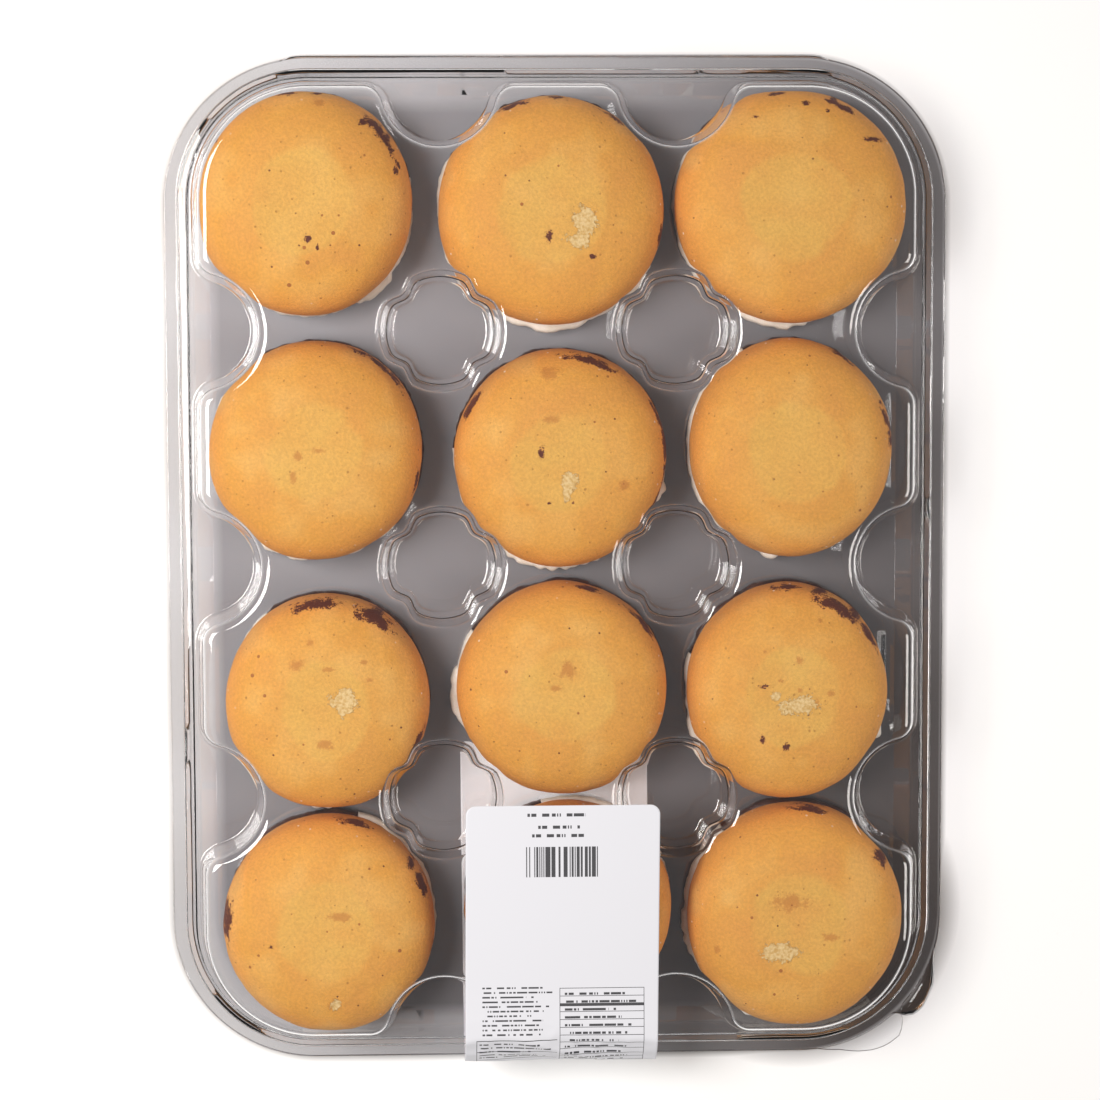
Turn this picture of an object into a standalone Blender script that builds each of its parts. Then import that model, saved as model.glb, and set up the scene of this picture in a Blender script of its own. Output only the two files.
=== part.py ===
"""Box of twelve half-moon cookies: a shut clear clamshell lying on its lid, sealed by one paper label.

Metres, +Z up. The lid's flat panel is below and the tray's base panel is on top, +Y points to the hinge
and +X to the finger tabs' side. The origin is under the middle of the box, on the surface it lies on.
"""

import math

import bmesh
import bpy
import numpy as np

MM = 0.001

# The box: cells on a square grid, three across and four along.
PITCH = 76.2 * MM
COLUMNS = 3
ROWS = 4
SHEET = 0.5 * MM
GAP = 0.3 * MM
LABEL_THICKNESS = 0.3 * MM
LID_BOTTOM = LABEL_THICKNESS + GAP
BASE_TOP = 33.0 * MM

# The base panel's edge and what is set off from it.
BASE_HALF_X = 115.2 * MM
BASE_HALF_Y = 154.0 * MM
BASE_CORNER = 34.8 * MM
END_SHARE = 0.84  # the end walls lean out this much as far as the side walls do
FLANGE_DEPTH = 14.0 * MM
FLANGE_INNER = 7.6 * MM
FLANGE_OUTER = 11.9 * MM
END_REACH = BASE_HALF_Y + FLANGE_OUTER * END_SHARE
CORNER_STEPS = 10

# The lid: the step below its flange, and the radius of its rounded edge and the offset of its centre.
LID_STEP = 1.4 * MM
LID_ROUND = 8.0 * MM
LID_ROUND_OFFSET = -2.8 * MM
LID_ROUND_STEPS = 4

# Half-round notches in the walls, one at each cell boundary.
NOTCH_RADIUS = 19.1 * MM
NOTCH_FILLET = 6.0 * MM
NOTCH_ARC_STEPS = 7
NOTCH_FILLET_STEPS = 3

# Hollow posts between the cells, open at the base panel. Each ring: radius, how far it is pulled in on
# its four diagonals, and depth below the base panel.
POST_STEPS = 24
POST_LOBES = 4
POST_FLUTE_HALF = math.radians(21.5)
POST_RINGS = (
    (20.5 * MM, 2.9 * MM, 0.0),
    (19.3 * MM, 2.9 * MM, 1.1 * MM),
    (17.5 * MM, 2.5 * MM, 6.5 * MM),
    (15.7 * MM, 2.1 * MM, 12.4 * MM),
    (14.5 * MM, 2.2 * MM, 13.2 * MM),
)

# The tray's wall from the base panel down to the flange. Each ring: offset from the base edge, depth
# below the base panel, and whether the notches are cut there.
TRAY_RINGS = (
    (-1.2 * MM, 0.0, True),
    (-0.3 * MM, 0.4 * MM, True),
    (0.2 * MM, 1.3 * MM, True),
    (2.6 * MM, 10.8 * MM, True),
    (3.4 * MM, 11.8 * MM, True),
    (4.3 * MM, 11.8 * MM, False),
    (4.9 * MM, 13.6 * MM, False),
    (FLANGE_INNER, FLANGE_DEPTH, False),
    (FLANGE_OUTER, FLANGE_DEPTH, False),
)

# The finger tabs at one corner: direction from the corner's centre in degrees, and reach beyond the
# flange in millimetres. The hinge strip is behind.
TRAY_TAB = ((-48.0, 0.0), (-43.0, 4.6), (-39.0, 5.7), (-29.0, 4.2), (-15.0, 0.0))
LID_TAB = ((-84.0, 0.0), (-74.0, 2.1), (-63.0, 6.2), (-58.0, 7.3), (-51.0, 7.0), (-42.0, 0.0))
HINGE_HALF = 87.0 * MM
HINGE_REACH = 1.0 * MM
HINGE_DROP = 0.9 * MM
LIP_DROP = 0.4 * MM
LIP_OUT = 0.15 * MM

# The label wraps the edge across from the hinge.
LABEL_WIDTH = 63.5 * MM
LABEL_CORNER = 3.2 * MM
LABEL_TRAY_END = -78.2 * MM
LABEL_LID_END = -62.8 * MM
LABEL_DRIFT = 0.9 * MM
LABEL_BEND = 1.0 * MM
LABEL_FRONT = 0.7 * MM  # how far the label's inner face stands before the flange's edge
LABEL_SLACK = 0.25 * MM  # how much further than the gap it stands off the lid's rounded edge

# The cookies: icing below, cake above, held between the lid and the base panel.
ICING_BOTTOM = LID_BOTTOM + SHEET + GAP
ICING_TOP = 7.4 * MM
CAKE_BOTTOM = ICING_TOP + GAP
CAKE_TOP = BASE_TOP - SHEET - GAP
CAKE_WIDEST = 11.5 * MM
CAKE_STEPS = 16
ICING_STEPS = 9
EDGE_WAVE = 0.006
EDGE_WAVE_COUNTS = (2, 3, 5)
TOP_SPREAD = 0.6 * MM

# Profiles from the underside up. Each ring: its size as a share of the cookie's, and its height; a
# cake's are shares of the height from its widest ring to its top, below that ring of its rim's depth.
CAKE_RIM = ((0.93, 0.0), (0.985, 0.35))
CAKE_DOME = ((1.0, 0.0), (0.955, 0.30), (0.835, 0.60), (0.63, 0.84), (0.33, 1.0))
ICING_RINGS = ((0.90, ICING_BOTTOM), (0.975, ICING_BOTTOM + 1.8 * MM), (1.0, ICING_TOP))

# Each cookie: shift from its cell's middle in x and y, width and length, all in millimetres, and the
# direction, in degrees, that its chocolate half faces.
COOKIES = {
    "r1c1": (-5.9, 3.3, 71.0, 74.3, 120.0),
    "r1c2": (-1.7, 0.6, 74.7, 75.7, 52.0),
    "r1c3": (0.6, 2.0, 76.8, 76.6, 48.0),
    "r2c1": (-2.8, -1.0, 70.7, 72.7, 45.0),
    "r2c2": (1.0, -3.8, 70.7, 72.4, 70.0),
    "r2c3": (0.8, -1.0, 67.4, 72.7, 35.0),
    "r3c1": (0.4, -7.6, 67.7, 72.0, 40.0),
    "r3c2": (1.5, -3.9, 69.7, 71.7, 50.0),
    "r3c3": (-0.4, -5.3, 67.7, 72.2, 55.0),
    "r4c1": (0.2, -5.5, 70.7, 73.3, 150.0),
    "r4c2": (3.1, -0.6, 69.7, 70.6, 210.0),
    "r4c3": (2.6, -4.2, 72.4, 75.6, 42.0),
}
SEED = 12

# Colour, roughness and transmission of each finish.
FINISHES = {
    "clear_pet": ((0.93, 0.94, 0.95, 1.0), 0.06, 1.0),
    "label_paper": ((0.90, 0.90, 0.90, 1.0), 0.55, 0.0),
    "golden_cake": ((0.72, 0.42, 0.12, 1.0), 0.80, 0.0),
    "chocolate_icing": ((0.06, 0.022, 0.012, 1.0), 0.45, 0.0),
    "vanilla_icing": ((0.86, 0.82, 0.74, 1.0), 0.50, 0.0),
}


def clear_scene():
    for obj in list(bpy.data.objects):
        bpy.data.objects.remove(obj)


def finish(name):
    """The named Principled material, made the first time it is asked for."""
    material = bpy.data.materials.get(name)
    if material:
        return material
    colour, roughness, transmission = FINISHES[name]
    material = bpy.data.materials.new(name)
    material.use_nodes = True
    shader = material.node_tree.nodes["Principled BSDF"]
    shader.inputs["Base Color"].default_value = colour
    shader.inputs["Roughness"].default_value = roughness
    shader.inputs["Metallic"].default_value = 0.0
    shader.inputs["Transmission Weight"].default_value = transmission
    return material


def add_object(name, bm, finish_name):
    """An object in the scene made from bm, which is freed."""
    mesh = bpy.data.meshes.new(name)
    bm.to_mesh(mesh)
    bm.free()
    mesh.shade_smooth()
    mesh.set_sharp_from_angle(angle=math.radians(35.0))
    mesh.materials.append(finish(finish_name))
    obj = bpy.data.objects.new(name, mesh)
    bpy.context.scene.collection.objects.link(obj)
    return obj


def add_wall(obj):
    """Gives a shell its sheet thickness, inward from the modelled face."""
    solidify = obj.modifiers.new("sheet", "SOLIDIFY")
    solidify.thickness = SHEET
    solidify.offset = -1.0
    solidify.use_even_offset = True


def add_rings(bm, rings):
    """Vertices for closed rings of equal length, with quads between neighbours."""
    loops = [[bm.verts.new(point) for point in ring] for ring in rings]
    for lower, upper in zip(loops, loops[1:]):
        count = len(lower)
        for i in range(count):
            j = (i + 1) % count
            bm.faces.new((lower[i], lower[j], upper[j], upper[i]))
    return loops


def at_height(outline, z):
    return [(x, y, z) for x, y in outline]


def loop_edges(bm, loop):
    """The closed loop's edges, made where they are missing."""
    pairs = zip(loop, loop[1:] + loop[:1])
    return [bm.edges.get(pair) or bm.edges.new(pair) for pair in pairs]


def notch_points(offset, cut):
    """Points (along, depth) of one notch in an edge set off from the base edge by offset.

    The notch is an arc about a point on the base edge, with a convex fillet at each end. With cut
    False the same points lie on the straight edge.
    """
    reach = NOTCH_RADIUS + NOTCH_FILLET
    along = math.sqrt(reach**2 - NOTCH_FILLET**2)
    turn = math.asin(along / reach)
    radius = NOTCH_RADIUS - offset
    fillet = NOTCH_FILLET + offset
    half = [
        (along - fillet * math.sin(b), fillet - fillet * math.cos(b))
        for b in np.linspace(0.0, turn, NOTCH_FILLET_STEPS + 1)[:-1]
    ]
    arc = [
        (radius * math.sin(a), offset + radius * math.cos(a))
        for a in np.linspace(-turn, turn, NOTCH_ARC_STEPS)
    ]
    points = [(-t, d) for t, d in half] + arc + half[::-1]
    return [(t, d if cut else 0.0) for t, d in points]


def outline(offset, cut=None):
    """The box's outline, counterclockwise, set off from the base edge.

    cut is True for half-round notches, False for their points on a straight edge and None for a
    plain rounded rectangle with points at its corners only.
    """
    half_x = BASE_HALF_X + offset
    half_y = BASE_HALF_Y + offset * END_SHARE
    corner = BASE_CORNER + offset
    long_side = [(row - ROWS / 2) * PITCH for row in range(1, ROWS)]
    short_side = [(column - COLUMNS / 2) * PITCH for column in range(1, COLUMNS)]
    points = []
    for side in range(4):
        angle = side * math.pi / 2
        out = np.array((round(math.cos(angle)), round(math.sin(angle))))
        along = np.array((-out[1], out[0]))
        reach, length = (half_x, half_y) if side % 2 == 0 else (half_y, half_x)
        middles = long_side if side % 2 == 0 else short_side
        for middle in middles if cut is not None else []:
            for t, depth in notch_points(offset, cut):
                points.append(out * (reach - depth) + along * (middle + t))
        centre = out * (reach - corner) + along * (length - corner)
        for turn in np.linspace(0.0, math.pi / 2, CORNER_STEPS + 1):
            points.append(centre + corner * (out * math.cos(turn) + along * math.sin(turn)))
    return points


def reach_out(points, tab, strip):
    """Moves an outline's points out to a finger tab at one corner and to a strip along the hinge."""
    corner_x = BASE_HALF_X - BASE_CORNER
    corner_y = BASE_CORNER + FLANGE_OUTER - END_REACH
    moved = []
    for x, y in points:
        if x > corner_x and y < corner_y:
            angle = math.atan2(y - corner_y, x - corner_x)
            reach = np.interp(math.degrees(angle), *zip(*tab)) * MM
            x += reach * math.cos(angle)
            y += reach * math.sin(angle)
        if y > BASE_HALF_Y and abs(x) < HINGE_HALF:
            y += strip
        moved.append((x, y))
    return moved


def post_ring(centre, radius, flute, depth):
    """One ring of a post: a circle pulled in by flute on its four diagonals."""
    ring = []
    for step in range(POST_STEPS):
        angle = math.tau * step / POST_STEPS
        off_diagonal = (angle % (math.tau / POST_LOBES)) - math.pi / POST_LOBES
        share = min(1.0, abs(off_diagonal) / POST_FLUTE_HALF)
        pull = flute * 0.5 * (1.0 + math.cos(math.pi * share))
        x = centre[0] + (radius - pull) * math.cos(angle)
        y = centre[1] + (radius - pull) * math.sin(angle)
        ring.append((x, y, BASE_TOP - depth))
    return ring


def post_centres():
    columns = [(column - COLUMNS / 2) * PITCH for column in range(1, COLUMNS)]
    rows = [(row - ROWS / 2) * PITCH for row in range(1, ROWS)]
    return [(x, y) for y in rows for x in columns]


def add_post(bm, centre):
    """A hollow post hanging from the base panel, and the edges of its mouth."""
    rings = [post_ring(centre, *ring) for ring in reversed(POST_RINGS)]
    loops = add_rings(bm, rings)
    bm.faces.new(loops[0])
    return loop_edges(bm, loops[-1])


def build_tray():
    """The tray: base panel, posts, notched walls, shelf, flange with its tab and the hinge strip."""
    rings = []
    for offset, depth, cut in TRAY_RINGS:
        rings.append(at_height(outline(offset, cut), BASE_TOP - depth))
    edge = reach_out(outline(FLANGE_OUTER, False), TRAY_TAB, HINGE_REACH)
    rings[-1] = at_height(edge, BASE_TOP - FLANGE_DEPTH)
    lip = reach_out(outline(FLANGE_OUTER + LIP_OUT, False), TRAY_TAB, HINGE_REACH)
    drops = [HINGE_DROP if y > END_REACH + HINGE_REACH / 2 else LIP_DROP for x, y in edge]
    rings.append([(x, y, BASE_TOP - FLANGE_DEPTH - drop) for (x, y), drop in zip(lip, drops)])
    bm = bmesh.new()
    loops = add_rings(bm, rings[::-1])
    edges = loop_edges(bm, loops[-1])
    for centre in post_centres():
        edges += add_post(bm, centre)
    bmesh.ops.triangle_fill(bm, use_beauty=True, use_dissolve=False, edges=edges)
    bmesh.ops.recalc_face_normals(bm, faces=bm.faces)
    tray = add_object("tray", bm, "clear_pet")
    add_wall(tray)


def build_lid():
    """The lid: flange with its tab, wall and a flat panel with a wide rounded edge."""
    flange_z = BASE_TOP - FLANGE_DEPTH - 2 * SHEET - GAP
    profile = [(FLANGE_INNER, flange_z), (FLANGE_INNER - LID_STEP, flange_z - LID_STEP)]
    for turn in np.linspace(0.0, math.pi / 2, LID_ROUND_STEPS + 1):
        offset = LID_ROUND_OFFSET + LID_ROUND * math.cos(turn)
        z = LID_BOTTOM + LID_ROUND * (1.0 - math.sin(turn))
        profile.append((offset, z))
    edge = reach_out(outline(FLANGE_OUTER), LID_TAB, 0.0)
    rings = [at_height(edge, flange_z)]
    rings += [at_height(outline(offset), z) for offset, z in profile]
    bm = bmesh.new()
    loops = add_rings(bm, rings)
    bm.faces.new(loops[-1])
    bmesh.ops.recalc_face_normals(bm, faces=bm.faces)
    lid = add_object("lid", bm, "clear_pet")
    # An open shell's normals can come out either way, so they are turned to face down and out.
    panel = max(lid.data.polygons, key=lambda face: face.area)
    if panel.normal.z > 0:
        lid.data.flip_normals()
    add_wall(lid)


def label_path():
    """Points (y, z) of the label's inner face, from its end on the tray to its end on the lid."""
    over = BASE_TOP + GAP
    front = -(END_REACH + LABEL_FRONT)
    flange_top = BASE_TOP - FLANGE_DEPTH
    flange_bottom = flange_top - 2 * SHEET - GAP
    around_lid = []
    for turn in np.radians((20.0, 45.0, 70.0, 90.0)):
        offset = LID_ROUND_OFFSET + (LID_ROUND + GAP + LABEL_SLACK) * math.cos(turn)
        z = LID_BOTTOM + LID_ROUND - (LID_ROUND + GAP) * math.sin(turn)
        around_lid.append((-(BASE_HALF_Y + offset * END_SHARE), z))
    return [
        (LABEL_TRAY_END, over),
        (LABEL_TRAY_END - LABEL_CORNER, over),
        (-BASE_HALF_Y + LABEL_BEND, over),
        (-BASE_HALF_Y - 1.6 * LABEL_BEND, over - 1.2 * LABEL_BEND),
        (front + LABEL_BEND, flange_top + 1.1 * LABEL_BEND),
        (front, flange_top - 0.1 * LABEL_BEND),
        (front, flange_bottom + 0.1 * LABEL_BEND),
        (front + LABEL_BEND, flange_bottom - 1.3 * LABEL_BEND),
        *around_lid,
        (LABEL_LID_END - LABEL_CORNER, LABEL_THICKNESS),
        (LABEL_LID_END, LABEL_THICKNESS),
    ]


def build_label():
    """The paper label: a strip carried round the front edge, a little out of square."""
    path = np.array(label_path())
    steps = np.diff(path, axis=0)
    lengths = np.linalg.norm(steps, axis=1)
    normals = np.column_stack((-steps[:, 1], steps[:, 0])) / lengths[:, None]
    sides = np.vstack((normals[:1], normals[:-1] + normals[1:], normals[-1:]))
    sides /= (sides * np.vstack((normals, normals[-1:]))).sum(axis=1)[:, None]
    run = np.concatenate(([0.0], np.cumsum(lengths)))
    bm = bmesh.new()
    sections = []
    for index, (y, z) in enumerate(path):
        end = index in (0, len(path) - 1)
        half = LABEL_WIDTH / 2 - (LABEL_CORNER if end else 0.0)
        middle = LABEL_DRIFT * (1.0 - 2.0 * run[index] / run[-1])
        outer = (y, z) - sides[index] * LABEL_THICKNESS
        sections.append(
            [
                bm.verts.new((middle - half, y, z)),
                bm.verts.new((middle + half, y, z)),
                bm.verts.new((middle + half, *outer)),
                bm.verts.new((middle - half, *outer)),
            ]
        )
    for first, second in zip(sections, sections[1:]):
        for i in range(4):
            j = (i + 1) % 4
            bm.faces.new((first[i], first[j], second[j], second[i]))
    bm.faces.new(sections[0][::-1])
    bm.faces.new(sections[-1])
    bmesh.ops.recalc_face_normals(bm, faces=bm.faces)
    add_object("label", bm, "label_paper")


def cookie_edge(rng):
    """A function of the direction that gives a cookie's radius as a share, round but uneven."""
    phases = rng.uniform(0.0, math.tau, len(EDGE_WAVE_COUNTS))

    def share(angle):
        counts = zip(EDGE_WAVE_COUNTS, phases)
        waves = (math.sin(count * angle + phase) / (count - 1) for count, phase in counts)
        return 1.0 - EDGE_WAVE + EDGE_WAVE * sum(waves)

    return share


def build_cake(name, centre, half, share, top):
    """The cake: a low dome, widest near its flat underside, flattened where it meets the tray."""
    rim = CAKE_WIDEST - CAKE_BOTTOM
    profile = [(size, CAKE_BOTTOM + height * rim) for size, height in CAKE_RIM]
    profile += [(size, CAKE_WIDEST + height * (top - CAKE_WIDEST)) for size, height in CAKE_DOME]
    rings = []
    for size, z in profile:
        ring = []
        for step in range(CAKE_STEPS):
            angle = math.tau * step / CAKE_STEPS
            reach = size * share(angle)
            x = centre[0] + half[0] * reach * math.cos(angle)
            y = centre[1] + half[1] * reach * math.sin(angle)
            ring.append((x, y, z))
        rings.append(ring)
    bm = bmesh.new()
    loops = add_rings(bm, rings)
    bm.faces.new(loops[0][::-1])
    bm.faces.new(loops[-1])
    add_object(name, bm, "golden_cake")


def build_icing(name, centre, half, share, facing, finish_name):
    """Half of the icing: a D with its straight side along the line where the two colours meet."""
    forward = np.array((math.cos(facing), math.sin(facing)))
    rings = []
    for size, z in ICING_RINGS:
        ring = []
        for angle in facing + np.linspace(-math.pi / 2, math.pi / 2, ICING_STEPS):
            reach = size * share(angle)
            arm = np.array((half[0] * math.cos(angle), half[1] * math.sin(angle))) * reach
            arm += forward * max(0.0, GAP / 2 - arm @ forward)
            ring.append((centre[0] + arm[0], centre[1] + arm[1], z))
        rings.append(ring)
    bm = bmesh.new()
    loops = add_rings(bm, rings)
    bm.faces.new(loops[0][::-1])
    bm.faces.new(loops[-1])
    add_object(name, bm, finish_name)


def build_cookies():
    rng = np.random.default_rng(SEED)
    for cell, (shift_x, shift_y, width, length, facing) in COOKIES.items():
        row = int(cell[1])
        column = int(cell[3])
        x = (column - (COLUMNS + 1) / 2) * PITCH + shift_x * MM
        y = ((ROWS + 1) / 2 - row) * PITCH + shift_y * MM
        half = (width * MM / 2, length * MM / 2)
        share = cookie_edge(rng)
        top = CAKE_TOP - rng.uniform(0.0, TOP_SPREAD)
        turn = math.radians(facing)
        build_cake(f"cake_{cell}", (x, y), half, share, top)
        build_icing(f"chocolate_{cell}", (x, y), half, share, turn, "chocolate_icing")
        build_icing(f"vanilla_{cell}", (x, y), half, share, turn + math.pi, "vanilla_icing")


def main():
    clear_scene()
    build_tray()
    build_lid()
    build_label()
    build_cookies()


main()
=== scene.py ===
import math

import bmesh
import bpy
import numpy as np
from mathutils import Matrix, Vector, geometry


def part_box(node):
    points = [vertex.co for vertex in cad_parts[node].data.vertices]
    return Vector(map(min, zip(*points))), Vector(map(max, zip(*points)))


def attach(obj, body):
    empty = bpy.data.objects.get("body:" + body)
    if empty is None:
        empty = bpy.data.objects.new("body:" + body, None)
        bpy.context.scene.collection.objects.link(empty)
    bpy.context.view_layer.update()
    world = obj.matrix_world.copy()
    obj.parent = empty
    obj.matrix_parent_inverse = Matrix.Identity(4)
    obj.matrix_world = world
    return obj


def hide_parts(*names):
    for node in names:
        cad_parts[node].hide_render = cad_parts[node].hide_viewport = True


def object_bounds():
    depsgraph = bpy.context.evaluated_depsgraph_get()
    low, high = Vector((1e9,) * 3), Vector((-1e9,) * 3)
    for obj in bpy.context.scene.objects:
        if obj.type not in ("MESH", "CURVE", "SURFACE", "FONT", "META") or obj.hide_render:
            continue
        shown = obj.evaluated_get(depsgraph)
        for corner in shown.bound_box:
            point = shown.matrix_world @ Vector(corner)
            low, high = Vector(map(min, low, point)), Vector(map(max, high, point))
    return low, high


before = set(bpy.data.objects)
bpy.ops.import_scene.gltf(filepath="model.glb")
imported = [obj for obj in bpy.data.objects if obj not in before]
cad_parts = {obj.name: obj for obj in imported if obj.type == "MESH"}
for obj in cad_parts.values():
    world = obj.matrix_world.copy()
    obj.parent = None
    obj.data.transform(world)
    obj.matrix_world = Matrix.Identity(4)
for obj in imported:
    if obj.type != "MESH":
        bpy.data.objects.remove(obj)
cadLow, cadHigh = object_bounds()
mm = 0.001


def linear(code):
    # a channel c in 0..1 becomes c / 12.92 below 0.04045, and ((c + 0.055) / 1.055) ** 2.4 above
    channel = np.array([int(code[i : i + 2], 16) for i in (1, 3, 5)]) / 255
    light = np.where(channel <= 0.04045, channel / 12.92, ((channel + 0.055) / 1.055) ** 2.4)
    return (*light.tolist(), 1.0)


def setInputs(node, values):
    # each socket gets its value or its link, where a node stands for its first output
    for key, value in values.items():
        if isinstance(value, bpy.types.Node):
            value = value.outputs[0]
        if isinstance(value, bpy.types.NodeSocket):
            node.id_data.links.new(value, node.inputs[key])
        else:
            node.inputs[key].default_value = value


def addNode(tree, kind, values=None, stops=(), **settings):
    # one node with its properties, its sockets' values or links, and a ramp's stops
    node = tree.nodes.new("ShaderNode" + kind)
    for key, value in settings.items():
        setattr(node, key, value)
    setInputs(node, values or {})
    for number, (position, colour) in enumerate(stops):
        elements = node.color_ramp.elements
        stop = elements[number] if number < len(elements) else elements.new(position)
        stop.position = position
        stop.color = colour
    return node


def newFinish(name):
    material = bpy.data.materials.new(name)
    material.use_nodes = True
    tree = material.node_tree
    return material, tree, tree.nodes["Principled BSDF"]


def addObject(name, data):
    item = bpy.data.objects.new(name, data)
    bpy.context.scene.collection.objects.link(item)
    return item


def standing(x, y, z, place):
    # the matrix of something with these axes at that place
    matrix = np.eye(4)
    matrix[:3] = np.column_stack((x, y, z, place))
    return Matrix(matrix.tolist())


def gridFaces(rows, columns, closed=True, start=0):
    # quads between neighbouring rows of points; closed joins the end of each row to its beginning
    i, j = np.meshgrid(np.arange(rows - 1), np.arange(columns if closed else columns - 1), indexing="ij")
    k = (j + 1) % columns
    corners = (i * columns + j, i * columns + k, (i + 1) * columns + k, (i + 1) * columns + j)
    return np.stack(corners, axis=-1).reshape(-1, 4) + start


def roundedPath(corners, steps):
    # a polyline with rounded corners: each (across, down, radius) corner becomes an arc that starts and
    # ends radius / tan(half the angle between its sides) away from it
    corners = np.array(corners, float)
    parts = [corners[:1, :2]]
    for before, corner, after in zip(corners, corners[1:], corners[2:]):
        if corner[2] == 0:
            parts.append(corner[None, :2])
            continue
        a = (before - corner)[:2] / np.linalg.norm((before - corner)[:2])
        b = (after - corner)[:2] / np.linalg.norm((after - corner)[:2])
        half = math.acos(np.clip(a @ b, -1, 1)) / 2
        centre = corner[:2] + (a + b) / np.linalg.norm(a + b) * corner[2] / math.sin(half)
        first = corner[:2] + a * corner[2] / math.tan(half) - centre
        last = corner[:2] + b * corner[2] / math.tan(half) - centre
        sweep = math.pi - 2 * half
        t = np.linspace(0, sweep, steps + 1)[:, None]
        parts.append(centre + (first * np.sin(sweep - t) + last * np.sin(t)) / math.sin(sweep))
    return np.vstack(parts + [corners[-1:, :2]])


def noise(points, size, seed):
    # smooth noise in -1..1: a random value at each corner of a cubic lattice of that size, blended
    # between the eight corners round a point by 3t^2 - 2t^3
    cell = points / size
    low = np.floor(cell)
    t = (cell - low) ** 2 * (3 - 2 * (cell - low))
    total = np.zeros(len(points))
    for corner in np.ndindex(2, 2, 2):
        key = (low + corner).astype(np.int64) @ np.array((73856093, 19349663, 83492791)) + seed * 7919
        key = (key ^ (key >> 13)) * 1274126177 & 0x7FFFFFFF
        key = (key ^ (key >> 15)) * 668265263 & 0x7FFFFFFF
        total += (key / 0x3FFFFFFF - 1) * np.where(corner, t, 1 - t).prod(axis=1)
    return total


def layered(points, table, seed):
    # noises of several heights and sizes in mm on top of each other
    return sum(high * noise(points, size * mm, seed + n) for n, (high, size) in enumerate(table))


def smooth(value, low, high):
    # 0 below low, 1 above high, 3t^2 - 2t^3 between
    t = np.clip((value - low) / (high - low), 0, 1)
    return t * t * (3 - 2 * t)


def closeSeams(mesh, distance):
    # merges points that near each other and turns the faces outwards
    bm = bmesh.new()
    bm.from_mesh(mesh)
    bmesh.ops.remove_doubles(bm, verts=bm.verts, dist=distance)
    bmesh.ops.recalc_face_normals(bm, faces=bm.faces)
    bm.to_mesh(mesh)
    bm.free()
    mesh.shade_smooth()


def putOn(name, mesh, finish, node):
    # the finished mesh rides on the part in place of a CAD node
    mesh.materials.append(finish)
    piece = addObject(name, mesh)
    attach(piece, "root")
    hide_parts(node)
    return piece


def thicken(piece, kind, thickness, offset):
    wall = piece.modifiers.new(kind, "SOLIDIFY")
    wall.thickness = thickness
    wall.offset = offset
    wall.use_even_offset = False


def addPiece(name, points, faces, finish, node, layers=None, uv=None):
    # a piece from arrays of points and faces, with numbers and a flat place for each point
    mesh = bpy.data.meshes.new(name)
    mesh.from_pydata(points.tolist(), [], faces.tolist() if isinstance(faces, np.ndarray) else faces)
    for key, values in (layers or {}).items():
        mesh.attributes.new(key, "FLOAT", "POINT").data.foreach_set("value", values.astype(np.float32))
    if uv is not None:
        corner = np.zeros(len(mesh.loops), np.int32)
        mesh.loops.foreach_get("vertex_index", corner)
        mesh.uv_layers.new(name="flat").data.foreach_set("uv", uv[corner].ravel())
    closeSeams(mesh, 0.001 * mm)
    return putOn(name, mesh, finish, node)


# Camera, lights and floor
view = {
    "place": (-41.0, 93.0, 1027.8),  # mm
    "lean": (-0.0381, 0.0878, -0.0035),  # to the side, forwards and about its own axis, in radians
    "lens": 101.13,
}
side, forward, roll = view["lean"]
back = np.array((math.sin(side) * math.cos(forward), math.sin(forward), math.cos(side) * math.cos(forward)))
right = np.cross((0, 1, 0), back)
right /= np.linalg.norm(right)
up = np.cross(back, right)
right, up = (
    math.cos(roll) * right + math.sin(roll) * up,
    math.cos(roll) * up - math.sin(roll) * right,
)
lens = bpy.data.cameras.new("camera")
lens.lens = view["lens"]
lens.sensor_width = 36.0
lens.clip_start = 0.01
camera = addObject("camera", lens)
camera.matrix_world = standing(right, up, back, np.array(view["place"]) * mm)
bpy.context.scene.camera = camera
bpy.context.scene.view_settings.view_transform = "Standard"

lamps = {
    # azimuth from +X, elevation, distance, size, power, colour
    "keySoftbox": (168.0, 55.0, 0.92, 0.42, 8.4, "#FFFCF8"),
    "fillSoftbox": (-12.0, 42.0, 1.20, 0.50, 4.8, "#FFFAF4"),
}
for name, (azimuth, elevation, distance, size, power, colour) in lamps.items():
    light = bpy.data.lights.new(name, "AREA")
    light.size = size
    light.energy = power
    light.color = linear(colour)[:3]
    a, e = math.radians(azimuth), math.radians(elevation)
    out = np.array((math.cos(a) * math.cos(e), math.sin(a) * math.cos(e), math.sin(e)))
    x = np.array((-math.sin(a), math.cos(a), 0.0))
    addObject(name, light).matrix_world = standing(x, np.cross(out, x), out, out * distance)

studio = {"colour": "#F6F6F8", "strength": 0.22}
world = bpy.data.worlds.new("studio")
world.use_nodes = True
background = {"Color": linear(studio["colour"]), "Strength": studio["strength"]}
setInputs(world.node_tree.nodes["Background"], background)
bpy.context.scene.world = world

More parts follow.
